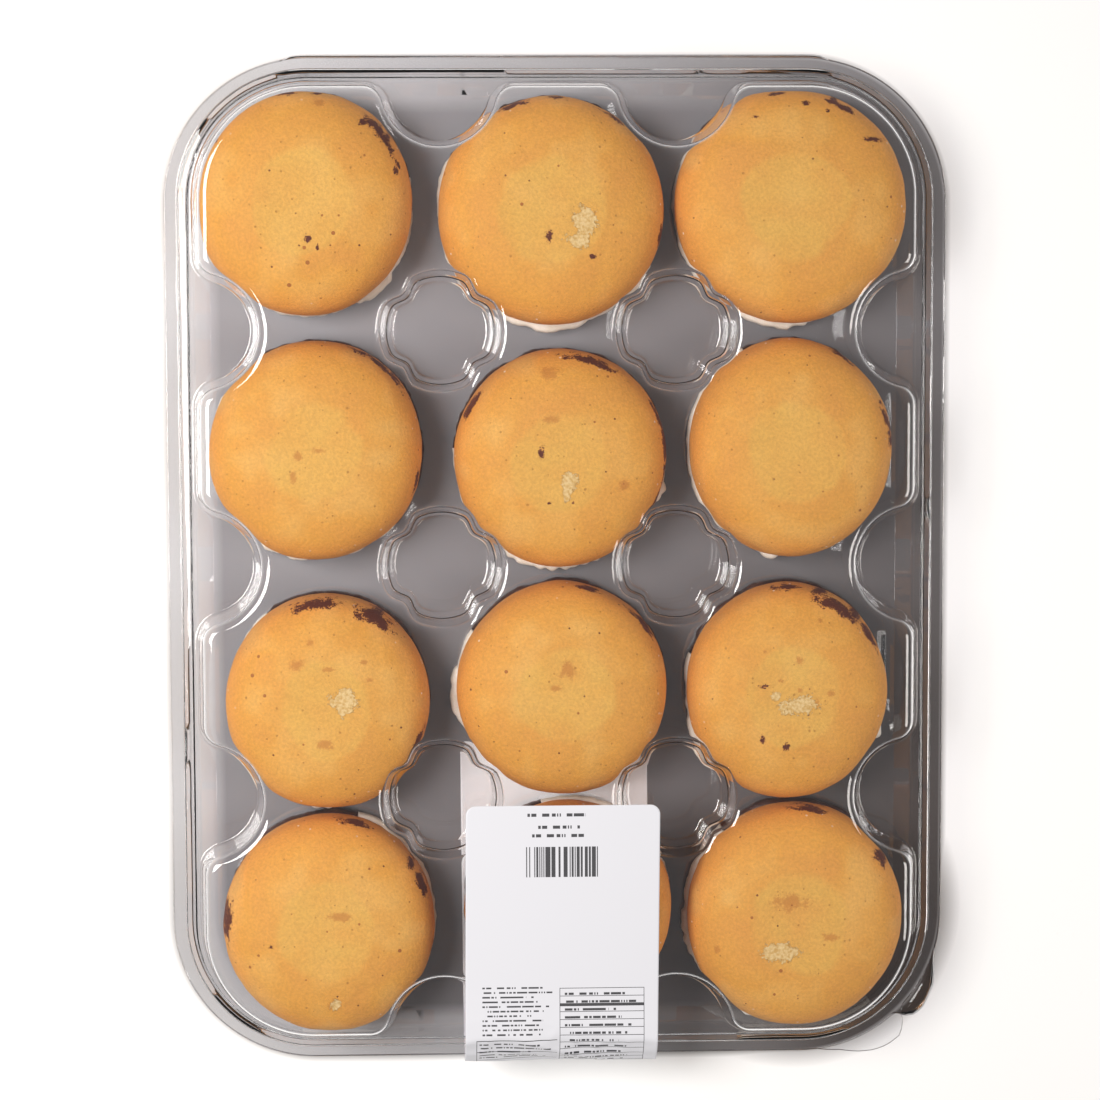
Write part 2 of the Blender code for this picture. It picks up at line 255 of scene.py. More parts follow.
# Floor: a matt white board with painted shade where the pack stands on it, from bright at the upper left
# to dark at the lower right, and painted lighter again below the flange on the left
ground = {
    "open": "#FFFFFF",
    # bright and dark ends of the painted shade under the pack
    "shade": ("#B7B6B8", "#4B433F"),
    "slope": (-0.75, 0.45, 0.0),  # the way the painted shade grows brighter
    "from": (-0.14, 0.14),  # its dark and bright ends along that way, in m as all that follows
    "middle": (0.0008, -0.0018, 0.0),  # of the pack's outline on it
    "corner": 0.0467,  # radius of that outline's corners
    "past": (0.001, 0.004),  # how far past the pack's outline the white begins and is full, where the painted shade ends
    "tabs": (-0.002, 0.010),  # the same for the painted shadow round the corner with the finger tabs
    "flange": (-0.016, -0.011),  # the same for the painted lighter strip, inside the outline
    "left": (0.10, -0.11),  # where that strip begins and is full, across the pack
    "half": 2.0,  # half the board's side
    "share": 0.48,  # how white the painted lighter strip becomes
}
core = (cadHigh - cadLow) / 2 - Vector((ground["corner"], ground["corner"], 0))
core.z = 0
paleFloorPaintedShade, tree, shader = newFinish("paleFloorPaintedShade")
where = addNode(tree, "TexCoord").outputs["Object"]
across = addNode(tree, "SeparateXYZ", {0: where})
slope = addNode(tree, "VectorMath", {0: where, 1: ground["slope"]}, operation="DOT_PRODUCT").outputs["Value"]
# painted shade under the pack, bright at the upper left and dark at the lower right
low, high = ground["from"]
share = addNode(tree, "MapRange", {0: slope, 1: low, 2: high})
bright, dark = (linear(code) for code in ground["shade"])
shade = addNode(tree, "Mix", {0: share, 6: dark, 7: bright}, data_type="RGBA").outputs[2]
# distance from a rounded rectangle's core, max(|p - middle| - core, 0), and white past its corners; inside,
# the painted shade stays
away = where
for operation, second in (
    ("SUBTRACT", ground["middle"]),
    ("ABSOLUTE", (0, 0, 0)),
    ("SUBTRACT", core),
    ("MAXIMUM", (0, 0, 0)),
):
    away = addNode(tree, "VectorMath", {0: away, 1: second}, operation=operation)
away = addNode(tree, "VectorMath", {0: away}, operation="LENGTH").outputs["Value"]
low, high = (ground["corner"] + reach for reach in ground["past"])
white = addNode(tree, "MapRange", {0: away, 1: low, 2: high})
# a painted shadow round the corner with the finger tabs
tabs = {0: where, 1: (core.x, -core.y, 0)}
tabs = addNode(tree, "VectorMath", tabs, operation="DISTANCE").outputs["Value"]
low, high = (ground["corner"] + reach for reach in ground["tabs"])
tabs = addNode(tree, "MapRange", {0: tabs, 1: low, 2: high})
white = addNode(tree, "Math", {0: white, 1: tabs}, operation="MINIMUM")
# a painted lighter strip below the flange on the left
low, high = (ground["corner"] + reach for reach in ground["flange"])
strip = addNode(tree, "MapRange", {0: away, 1: low, 2: high})
low, high = ground["left"]
left = addNode(tree, "MapRange", {0: across, 1: low, 2: high, 3: 0.0, 4: ground["share"]})
strip = addNode(tree, "Math", {0: strip, 1: left}, operation="MULTIPLY")
white = addNode(tree, "Math", {0: white, 1: strip}, operation="MAXIMUM")
colour = addNode(tree, "Mix", {0: white, 6: shade, 7: linear(ground["open"])}, data_type="RGBA").outputs[2]
setInputs(shader, {"Base Color": colour, "Roughness": 1.0, "Specular IOR Level": 0.0})
reach = np.linspace(-ground["half"], ground["half"], 9)
x, y = np.meshgrid(reach, reach)
places = np.column_stack((x.ravel(), y.ravel(), np.zeros(x.size)))
board = bpy.data.meshes.new("floor")
board.from_pydata(places.tolist(), [], gridFaces(*x.shape, False).tolist())
board.materials.append(paleFloorPaintedShade)
floor = addObject("floor", board)
print("camera, lights and floor made")

# Clear pack: recycled PET sheet, vacuum formed over a mould, so its edges are soft and its flats a
# little wavy. Light that falls through it is let through unbent.
clearSheet, tree, shader = newFinish("vacuumFormedPet")
clearLook = {"sheet": "#FCFCFD", "shade": "#FBFBFC", "ior": 1.575}
setInputs(shader, {"Base Color": linear(clearLook["sheet"]), "IOR": clearLook["ior"], "Roughness": 0.0})
setInputs(shader, {"Transmission Weight": 1.0})
path = addNode(tree, "LightPath")
soft = addNode(
    tree, "Math", {0: path.outputs["Is Shadow Ray"], 1: path.outputs["Is Diffuse Ray"]}, operation="MAXIMUM"
)
let = addNode(tree, "BsdfTransparent", {"Color": linear(clearLook["shade"])})
both = addNode(tree, "MixShader", {0: soft, 1: shader, 2: let})
setInputs(tree.nodes["Material Output"], {"Surface": both})

trayLow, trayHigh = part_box("tray")
lidLow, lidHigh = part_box("lid")
baseTop = trayHigh.z
pack = {
    "pitch": 76.2 * mm,
    "sheet": 0.5 * mm,
    "corner": 34.8 * mm,
    "endShare": 0.84,  # the end walls lean out this much as far as the side walls do
    "flange": 11.9 * mm,
    "lip": 0.15 * mm,
    "notch": 19.1 * mm,
    "notchFillet": 6.0 * mm,
    "cornerSteps": 40,
    "notchSteps": 24,
    "filletSteps": 8,
    "hingeHalf": 87.0 * mm,
    "hingeReach": 1.0 * mm,
    "hingeDrop": 0.9 * mm,
    "grid": 4.0 * mm,
    "waves": ((0.08, 26.0), (0.025, 9.0)),  # height and size in mm
    # direction from the corner's centre in degrees, reach beyond the flange in mm
    "trayTab": ((-47.5, 0), (-45.5, 3), (-43, 4.9), (-39, 5.8), (-34, 5), (-29, 4.2), (-20, 0.8), (-15, 0)),
    "lidTab": ((-84, 0), (-74, 2.1), (-68, 4.6), (-62, 6.6), (-57, 7.4), (-51.5, 7.2), (-48, 5), (-44, 0)),
}
baseHalf = np.array(
    (-trayLow.x - pack["flange"] - pack["lip"], lidHigh.y - pack["flange"] * pack["endShare"])
)


def notchPoints(offset):
    # (along, depth) of a half-round notch: an arc of radius R - offset about a point on the base edge,
    # between two convex fillets of radius F + offset, all tangent, so every offset is a parallel curve
    big, small = pack["notch"], pack["notchFillet"]
    along = math.sqrt((big + small) ** 2 - small**2)
    sweep = math.asin(along / (big + small))
    a = np.linspace(-sweep, sweep, pack["notchSteps"] + 1)
    b = np.linspace(0, sweep, pack["filletSteps"] + 1)[:-1]
    arc = np.column_stack(((big - offset) * np.sin(a), offset + (big - offset) * np.cos(a)))
    half = np.column_stack((along - (small + offset) * np.sin(b), (small + offset) * (1 - np.cos(b))))
    return np.vstack((half * (-1, 1), arc, half[::-1]))


def packOutline(offset, cut):
    # the base edge moved out by offset: four straight sides, with notches of a share cut of their depth,
    # joined by quarter circles
    half = baseHalf + offset * np.array((1, pack["endShare"]))
    corner = pack["corner"] + offset
    notch = notchPoints(offset)
    parts = []
    for number in range(4):
        out = np.round((math.cos(number * math.pi / 2), math.sin(number * math.pi / 2)))
        along = np.array((-out[1], out[0]))
        reach, length = half[number % 2], half[1 - number % 2]
        for middle in ((-1, 0, 1), (-0.5, 0.5))[number % 2]:
            depth = reach - cut * notch[:, 1:]
            parts.append(depth * out + (notch[:, :1] + middle * pack["pitch"]) * along)
        angle = np.linspace(0, math.pi / 2, pack["cornerSteps"] + 1)[:, None]
        centre = out * (reach - corner) + along * (length - corner)
        parts.append(centre + corner * (out * np.cos(angle) + along * np.sin(angle)))
    return np.vstack(parts)


def reachOut(points, tab, strip):
    # a finger tab at one corner, by a table of angle and reach, and a strip along the hinge
    centre = np.array((baseHalf[0] - pack["corner"], pack["corner"] + pack["flange"] - lidHigh.y))
    arm = points - centre
    angle = np.degrees(np.arctan2(arm[:, 1], arm[:, 0]))
    reach = np.interp(angle, *np.transpose(tab), left=0, right=0) * mm
    points = points + reach[:, None] * arm / np.linalg.norm(arm, axis=1)[:, None]
    ends = np.clip((pack["hingeHalf"] - np.abs(points[:, 0])) / (3 * mm) + 0.5, 0, 1)
    points[:, 1] += strip * ends * (points[:, 1] > baseHalf[1])
    return points


tray = {
    # offset from the base edge, depth below the base panel and rounding, in mm
    "wall": ((-3.6, 0, 0), (-0.13, 0, 3.6), (2.85, 11.8, 0.9), (3.9, 11.8, 0)),
    "shelf": (
        (4.0, 11.8, 0),
        (4.4, 11.8, 0.3),
        (4.9, 13.4, 0.5),
        (7.5, 13.5, 0.3),
        (7.9, 14, 0.3),
        (11.4, 14, 0),
        (11.6, 14, 0),
        (11.9, 14, 0),
    ),
    # radius, depth below the base panel and rounding of a post; its flutes' depth at its mouth and foot
    "post": (
        (23.4, 0, 0),
        (19.9, 0, 2.8),
        (17.9, 6.0, 1.5),
        (17.3, 6.6, 1.5),
        (15.7, 13.2, 1.4),
        (13.0, 13.2, 0),
    ),
    "postFloor": (0.7, 0.4, 0),  # its floor's rings, as shares of the last radius
    "flutes": (2.9, 2.1),
    "fluteHalf": 21.5,
    "postSteps": 96,
}


def postPoints(centre):
    # rings of radius r - f, where the flute f falls as a half cosine on each side of the four diagonals,
    # down to a pole in the middle of the floor
    path = roundedPath(tray["post"], 5) * mm
    foot = path[-1] * (1, 0)
    path = np.vstack((path, foot * np.array(tray["postFloor"])[:, None] + path[-1] * (0, 1)))
    angle = np.linspace(0, math.tau, tray["postSteps"], endpoint=False)
    share = np.clip(np.abs(angle % (math.pi / 2) - math.pi / 4) / math.radians(tray["fluteHalf"]), 0, 1)
    dip = 0.5 + 0.5 * np.cos(math.pi * share)
    depth = path[:, 1] / path[:, 1].max()
    flute = (tray["flutes"][0] + (tray["flutes"][1] - tray["flutes"][0]) * depth) * mm
    flute *= np.minimum(path[:, 0] / (tray["post"][-1][0] * mm), 1)
    radius = path[:, :1] - flute[:, None] * dip
    x = centre[0] + radius * np.cos(angle)
    y = centre[1] + radius * np.sin(angle)
    return np.stack((x, y, np.broadcast_to(baseTop - path[:, 1:], x.shape)), axis=-1)


def flatPanel(rings):
    # a level panel inside the first ring and outside the others: triangles between the rings and a
    # square grid of points. A place is inside when a line from it towards +X crosses the rings an odd
    # number of times
    level = rings[0][0, 2]
    rings = [ring[:, :2] for ring in rings]
    first = np.vstack(rings)
    last = np.vstack([np.roll(ring, -1, axis=0) for ring in rings])

    def inside(places):
        above = (first[:, 1] > places[:, 1:]) != (last[:, 1] > places[:, 1:])
        rise = np.where(first[:, 1] == last[:, 1], 1, last[:, 1] - first[:, 1])
        crossing = first[:, 0] + (places[:, 1:] - first[:, 1]) * (last[:, 0] - first[:, 0]) / rise
        return (above & (crossing > places[:, :1])).sum(axis=1) % 2 == 1

    low, high = rings[0].min(axis=0), rings[0].max(axis=0)
    x, y = np.meshgrid(*(np.arange(a + pack["grid"] / 2, b, pack["grid"]) for a, b in zip(low, high)))
    grid = np.column_stack((x.ravel(), y.ravel()))
    grid = grid[inside(grid)]
    near = np.array([np.hypot(*(first - place).T).min() for place in grid])
    places = np.vstack((first, grid[near > 0.4 * pack["grid"]]))
    starts = np.cumsum([0] + [len(ring) for ring in rings])
    edges = [(a + k, a + (k + 1) % (b - a)) for a, b in zip(starts, starts[1:]) for k in range(b - a)]
    result = geometry.delaunay_2d_cdt([Vector(place) for place in places.tolist()], edges, [], 0, 1e-7)
    places = np.array([tuple(place) for place in result[0]])
    faces = np.array(result[2])
    faces = faces[inside(places[faces].mean(axis=1))]
    return np.column_stack((places, np.full(len(places), level))), faces


def addSheet(name, node, parts, flats, upwards):
    # each part's rows of points become a wall, each flat's rings a panel; slow waves bend what lies level
    # inwards, and the sheet gets its thickness inwards too
    points, faces = [], []
    for rows in parts:
        faces += gridFaces(*rows.shape[:2], True, sum(map(len, points))).tolist()
        points.append(rows.reshape(-1, 3))
    for rings in flats:
        places, triangles = flatPanel(rings)
        faces += (triangles + sum(map(len, points))).tolist()
        points.append(places)
    mesh = bpy.data.meshes.new(name)
    mesh.from_pydata(np.vstack(points).tolist(), [], faces)
    closeSeams(mesh, 0.002 * mm)
    widest = max(mesh.polygons, key=lambda face: face.area)
    if (widest.normal.z > 0) != upwards:
        mesh.flip_normals()
    flat = np.zeros(3 * len(mesh.vertices))
    mesh.vertices.foreach_get("co", flat)
    normals = np.array([tuple(normal.vector) for normal in mesh.vertex_normals])
    places = flat.reshape(-1, 3)
    dip = layered(places, pack["waves"], 3) + sum(high for high, size in pack["waves"])
    places[:, 2] -= normals[:, 2] * dip * mm
    mesh.vertices.foreach_set("co", places.ravel())
    mesh.update()
    thicken(putOn(name, mesh, clearSheet, node), "sheet", pack["sheet"], -1.0)


def outlineRow(offset, cut, z):
    points = packOutline(offset, cut)
    return np.column_stack((points, np.full(len(points), z)))


rows = [outlineRow(o, 1, baseTop - d) for o, d in roundedPath(tray["wall"], 7) * mm]
rows += [outlineRow(o, 0, baseTop - d) for o, d in roundedPath(tray["shelf"], 4) * mm]
rows.append(outlineRow(pack["flange"] + pack["lip"], 0, rows[-1][0, 2]))
for row in rows[-3:]:
    row[:, :2] = reachOut(row[:, :2], pack["trayTab"], pack["hingeReach"])
behind = rows[-1][:, 1] > lidHigh.y + pack["hingeReach"] / 2
rows[-1][:, 2] -= np.where(behind, pack["hingeDrop"], 0.4 * mm)
posts = [
    postPoints((column * pack["pitch"], row * pack["pitch"])) for row in (-1, 0, 1) for column in (-0.5, 0.5)
]
addSheet("trayPet", "tray", [np.array(rows)] + posts, [[rows[0]] + [post[0] for post in posts]], True)
print("tray made")

lidShape = {
    # offset from the base edge, height above the lid's flat panel and rounding, in mm
    "wall": (
        (11.9, 17.1, 0),
        (11.6, 17.1, 0),
        (11.3, 17.1, 0),
        (7.6, 17.1, 0.5),
        (6.2, 15.6, 0.5),
        (4.6, 4.6, 4.0),
        (-1.3, 0.35, 0.9),
        (-2.8, 0, 0.9),
        (-4.2, 0, 0),
    ),
}
rows = [outlineRow(o, 0, lidLow.z + h) for o, h in roundedPath(lidShape["wall"], 6) * mm]
for row in rows[:2]:
    row[:, :2] = reachOut(row[:, :2], pack["lidTab"], 0)
addSheet("lidPet", "lid", [np.array(rows)], [[rows[-1]]], False)
print("lid made")

# Cookies: a soft sponge cake, baked golden, its domed top against the tray; pores a few tenths of a
# millimetre wide, torn crumb where it stuck to the tray, and smears of chocolate icing.
cake = {
    "widest": 11.5 * mm,
    "under": 0.93,  # how wide the underside is
    "power": (2.6, 3.2),  # how full the dome is
    "peak": 32.9 * mm,
    "ceiling": baseTop - pack["sheet"] - 0.32 * mm,
    "rows": 104,
    "columns": 288,
    "underRings": 7,
    "rimRings": 9,
    # height and size in mm: bumps, the outlines of marks, torn crumb, pale and warm patches
    "unevenness": ((0.30, 15.0), (0.13, 5.0), (0.05, 1.7)),
    "ragged": ((0.45, 2.2), (0.35, 0.9)),
    "crumbs": ((0.35, 1.3), (0.2, 0.6)),
    "patches": ((1.0, 11.0), (0.5, 5.0)),
    "edge": 0.007,  # how far from round, as a share of the radius
    "pressed": 0.3 * mm,  # how far below the ceiling the top begins to flatten
    "pressedShare": (0.42, 0.25, 6.0),  # how strong its colour is there, how uneven, and size in mm
    "freckles": 9.0 * mm,
    "bulge": (0.6, 1.3),  # how the bumps' direction turns outwards: power of the radius, weight of up
    # how far a mark reaches, how ragged and how soft its edge is; then the same for streaks
    "markEdge": (1.35, 0.6, 1.35),
    "streakEdge": (1.35, 0.9, 1.2),
    "tornDepth": 0.25,  # mm
    "smearHeight": 0.08,  # mm
}
marks = {
    # what, how far right and up of the middle and its half width and height, as shares of the cake's
    "r1c1": (
        ("smear", 0.05, -0.32, 0.05, 0.05),
        ("smear", 0.14, -0.40, 0.02, 0.04),
        ("smear", -0.03, -0.38, 0.02, 0.02),
        ("smear", 0.14, 0.96, 0.06, 0.02),
        ("toast", 0.16, 0.86, 0.06, 0.05),
        ("smear", 0.55, 0.70, 0.06, 0.04),
        ("smear", 0.76, 0.57, 0.07, 0.09),
        ("smear", 0.86, 0.28, 0.04, 0.05),
        ("smear", -0.80, 0.56, 0.025, 0.03),
    ),
    "r1c2": (
        ("torn", 0.28, -0.10, 0.13, 0.15),
        ("torn", 0.21, -0.27, 0.14, 0.08),
        ("smear", -0.04, -0.22, 0.05, 0.07),
        ("smear", 0.34, -0.40, 0.04, 0.03),
        ("smear", 0.04, 0.97, 0.09, 0.02),
    ),
    "r1c3": (
        ("smear", 0.66, 0.55, 0.12, 0.035),
        ("smear", 0.09, 0.86, 0.04, 0.03),
        ("smear", 0.35, 0.90, 0.05, 0.05),
        ("smear", 0.28, 0.80, 0.03, 0.02),
        ("smear", -0.34, 0.74, 0.05, 0.015),
    ),
    "r2c1": (
        ("toast", -0.15, -0.02, 0.05, 0.06),
        ("toast", -0.20, -0.22, 0.04, 0.07),
        ("toast", 0.04, 0.02, 0.09, 0.04),
    ),
    "r2c2": (
        ("smear", -0.19, 0.07, 0.035, 0.08),
        ("torn", 0.07, -0.19, 0.09, 0.10),
        ("torn", 0.05, -0.31, 0.05, 0.08),
        ("toast", -0.12, 0.79, 0.14, 0.08),
        ("toast", -0.10, 0.38, 0.10, 0.05),
        ("toast", 0.58, -0.23, 0.07, 0.08),
        ("smear", -0.12, -0.38, 0.02, 0.02),
        ("smear", 0.10, -0.38, 0.02, 0.02),
    ),
    "r2c3": (("smear", 0.97, 0.07, 0.05, 0.10), ("smear", -0.22, -0.25, 0.02, 0.02)),
    "r3c1": (
        ("smear", -0.10, 0.93, 0.14, 0.05),
        ("smear", 0.45, 0.84, 0.22, 0.06),
        ("torn", 0.17, 0.06, 0.15, 0.13),
        ("toast", -0.02, -0.33, 0.13, 0.07),
        ("toast", -0.15, 0.60, 0.05, 0.04),
        ("toast", 0.02, 0.36, 0.08, 0.03),
        ("toast", 0.38, 0.42, 0.06, 0.03),
        ("toast", 0.42, 0.26, 0.05, 0.03),
        ("toast", -0.28, 0.40, 0.10, 0.07),
        ("toast", 0.95, -0.25, 0.04, 0.09),
    ),
    "r3c2": (("toast", 0.03, 0.22, 0.10, 0.11), ("toast", -0.09, 0.06, 0.07, 0.04)),
    "r3c3": (
        ("smear", -0.29, 0.10, 0.06, 0.03),
        ("smear", -0.29, -0.39, 0.04, 0.06),
        ("smear", -0.06, -0.46, 0.05, 0.05),
        ("torn", 0.08, -0.08, 0.24, 0.10),
        ("torn", -0.16, 0.01, 0.06, 0.05),
        ("toast", 0.38, 0.03, 0.06, 0.04),
        ("toast", 0.24, -0.06, 0.05, 0.08),
        ("toast", 0.07, 0.34, 0.05, 0.06),
        ("toast", -0.12, 0.15, 0.04, 0.02),
        ("toast", 0.07, 0.06, 0.04, 0.03),
        ("toast", 0.28, 0.68, 0.03, 0.04),
        ("toast", -0.27, 0.42, 0.03, 0.02),
        ("smear", 0.30, 0.93, 0.14, 0.04),
        ("smear", 0.66, 0.72, 0.10, 0.09),
    ),
    "r4c1": (
        ("smear", -0.97, 0.12, 0.05, 0.24),
        ("smear", 0.78, 0.58, 0.05, 0.08),
        ("torn", 0.06, -0.68, 0.06, 0.06),
        ("toast", 0.05, -0.68, 0.08, 0.08),
        ("toast", 0.12, 0.15, 0.16, 0.06),
        ("smear", -0.53, -0.12, 0.015, 0.02),
    ),
    "r4c2": (("smear", -0.95, 0.10, 0.05, 0.20),),
    "r4c3": (
        ("smear", 0.76, 0.54, 0.10, 0.04),
        ("torn", -0.19, -0.24, 0.20, 0.10),
        ("toast", -0.10, 0.20, 0.20, 0.10),
        ("toast", 0.28, -0.12, 0.12, 0.05),
        ("toast", -0.75, -0.24, 0.04, 0.06),
    ),
}
markStrength = {"smear": 0.8, "torn": 0.95, "toast": 0.75}
streaks = {
    # chocolate along the rim: its middle and half length in degrees, radius and half width as shares
    "r1c1": ((42, 13, 0.93, 0.06), (20, 4, 0.93, 0.03), (97, 6, 0.97, 0.03)),
    "r1c2": ((110, 10, 0.97, 0.03), (55, 8, 0.97, 0.03), (-12, 7, 0.98, 0.03)),
    "r1c3": ((64, 10, 0.93, 0.03), (100, 6, 0.96, 0.03)),
    "r2c1": ((52, 22, 0.98, 0.025), (-15, 8, 0.98, 0.02)),
    "r2c2": ((72, 22, 0.94, 0.04), (10, 26, 0.98, 0.025), (-25, 10, 0.98, 0.02), (150, 10, 0.97, 0.03)),
    "r2c3": ((14, 14, 0.96, 0.04), (60, 10, 0.98, 0.02)),
    "r3c1": ((96, 20, 0.94, 0.05), (58, 18, 0.94, 0.06), (-22, 9, 0.96, 0.04)),
    "r3c2": ((40, 12, 0.98, 0.025), (75, 8, 0.98, 0.02)),
    "r3c3": ((62, 19, 0.92, 0.07), (33, 11, 0.95, 0.05), (92, 10, 0.97, 0.03)),
    "r4c1": ((176, 13, 0.95, 0.06), (24, 10, 0.96, 0.04), (75, 12, 0.98, 0.02)),
    "r4c2": ((170, 14, 0.96, 0.05),),
    "r4c3": ((34, 6, 0.94, 0.06), (82, 12, 0.98, 0.025)),
}

sponge, tree, shader = newFinish("bakedSpongeCake")
spongeLook = {
    # share of the way to the rim, colour; and how far the patches shift that share
    "crust": ((0.0, "#E2A54F"), (0.5, "#DFA047"), (0.8, "#E3A042"), (0.94, "#E79D45"), (1.0, "#DA9142")),
    "uneven": 0.07,
    "coats": {
        "pale": "#EAB866",
        "warm": "#DC9544",
        "pressed": "#E0B155",
        "speck": "#A9662C",
        # pores: the cake's colour painted darker in them as painted shade inside the hollows
        "pore": "#A5682B",
        "burnt": "#6B3214",
        "toast": "#B9702E",
        "crumb": "#F6EBDC",
        "stain": "#A05122",
        "smear": "#55220F",
    },
    "order": "pale warm pressed fine speck pore burnt toast crumb torn stain smear",  # from below
    "torn": ((0.35, "#D0A45C"), (0.6, "#E6C68C")),  # share of the grain, colour
    "fine": (0.3, 0.7, 0.90, 1.07),  # the grain's range and the brightness that it becomes
    # the mask, how far flecks break up its edge, where it begins and is full, and how much it covers;
    # for specks their largest size, as a share of a cell
    "covers": {
        "pale": ("patch", 0.0, 0.0, 1.0, 0.45),
        "warm": ("patch", 0.0, 0.1, -0.9, 0.5),
        "speck": ("freckle", 0.0, -0.2, 1.0, 0.16),
        "often": ("freckle", 0.0, -0.35, -0.1, 1.0),
        "toast": ("toast", 0.8, 0.26, 0.55, 0.6),
        "crumb": ("rim", 0.0, 0.86, 0.97, 1.0),
        "torn": ("torn", 0.9, 0.3, 0.36, 1.0),
        "stain": ("smear", 0.8, 0.22, 0.6, 0.75),
        "smear": ("smear", 1.3, 0.42, 0.5, 1.0),
    },
    # a cell's random channel, what it must be above, largest radius, softness and how much the dot covers
    # the pores' dots are painted shade in the hollows; the burnt dots are dark crumb
    "dots": {"pore": (0, 0.8, 0.27, 0.08, 0.55), "burnt": (1, 0.95, 0.26, 0.06, 1.0)},
    "crumbs": (0.955, 0.22),  # what the third channel must be above, and their radius
    "raised": {"pore": -1.2, "torn": 1.6},  # in steps of the relief, as the grain's is 1
    # the width of a grain or a cell
    "grain": 0.9 * mm,
    "flecks": 0.55 * mm,
    "specks": 5.5 * mm,
    "pores": 1.7 * mm,
    "roughness": 0.68,
    "specular": 0.3,
    "relief": 0.19 * mm,
}
where = addNode(tree, "TexCoord").outputs["Object"]
mask = {
    key: addNode(tree, "Attribute", attribute_name=key).outputs["Fac"]
    for key in ("rim", "pressed", "torn", "toast", "smear", "patch", "freckle")
}
scale = {key: 1 / spongeLook[key] for key in ("grain", "flecks", "specks", "pores")}
grain = addNode(tree, "TexNoise", {"Vector": where, "Scale": scale["grain"], "Detail": 2.0})
flecks = addNode(tree, "TexNoise", {"Vector": where, "Scale": scale["flecks"], "Detail": 1.0})
specks = addNode(tree, "TexVoronoi", {"Vector": where, "Scale": scale["specks"]}).outputs["Distance"]
pores = addNode(tree, "TexVoronoi", {"Vector": where, "Scale": scale["pores"]})
fromPore = pores.outputs["Distance"]
chances = addNode(tree, "SeparateColor", {0: pores.outputs["Color"]}).outputs
cover = {"fine": 1.0, "pressed": mask["pressed"]}
for key, (source, spread, low, high, most) in spongeLook["covers"].items():
    value = addNode(tree, "Math", {0: flecks, 1: spread, 2: mask[source]}, operation="MULTIPLY_ADD")
    value = {0: value, 1: low + spread / 2, 2: high + spread / 2, 4: most}
    cover[key] = addNode(tree, "MapRange", value)
for key, (channel, rarity, size, soft, most) in spongeLook["dots"].items():
    # round dots, larger the further the channel is above what it must be
    radius = addNode(tree, "MapRange", {0: chances[channel], 1: rarity, 4: size})
    inside = addNode(tree, "Math", {0: radius, 1: fromPore}, operation="SUBTRACT")
    cover[key] = addNode(tree, "MapRange", {0: inside, 2: soft, 4: most})
rarity, size = spongeLook["crumbs"]
rare = addNode(tree, "Math", {0: chances[2], 1: rarity}, operation="GREATER_THAN")
near = addNode(tree, "Math", {0: fromPore, 1: size}, operation="LESS_THAN")
for key, factor in (("burnt", cover["often"]), ("crumb", rare), ("crumb", near)):
    cover[key] = addNode(tree, "Math", {0: cover[key], 1: factor}, operation="MULTIPLY")
cover["speck"] = addNode(tree, "Math", {0: specks, 1: cover["speck"]}, operation="LESS_THAN")
coat = {key: linear(code) for key, code in spongeLook["coats"].items()}
low, high, dark, bright = spongeLook["fine"]
coat["fine"] = addNode(tree, "MapRange", {0: grain, 1: low, 2: high, 3: dark, 4: bright})
stops = [(position, linear(code)) for position, code in spongeLook["torn"]]
coat["torn"] = addNode(tree, "ValToRGB", {0: grain}, stops)
share = spongeLook["uneven"]
toRim = addNode(tree, "Math", {0: mask["patch"], 1: share, 2: mask["rim"]}, operation="MULTIPLY_ADD")
stops = [(position, linear(code)) for position, code in spongeLook["crust"]]
colour = addNode(tree, "ValToRGB", {0: toRim}, stops)
for key in spongeLook["order"].split():
    blend = "MULTIPLY" if key == "fine" else "MIX"
    both = {0: cover[key], 6: colour, 7: coat[key]}
    colour = addNode(tree, "Mix", both, data_type="RGBA", blend_type=blend).outputs[2]
relief = grain
for key, share in spongeLook["raised"].items():
    relief = addNode(tree, "Math", {0: cover[key], 1: share, 2: relief}, operation="MULTIPLY_ADD")
height = addNode(tree, "Bump", {"Height": relief, "Strength": 1.0, "Distance": spongeLook["relief"]})
setInputs(shader, {"Base Color": colour, "Normal": height, "Roughness": spongeLook["roughness"]})
setInputs(shader, {"Specular IOR Level": spongeLook["specular"]})


def edgeShare(angle, seed):
    # a nearly round edge: 1 plus waves of 2 to 6 round the cookie, smaller the more there are
    phase = np.random.default_rng(seed).uniform(0, math.tau, 5)
    return 1 - cake["edge"] + cake["edge"] * sum(np.sin(n * angle + phase[n - 2]) / n for n in range(2, 7))


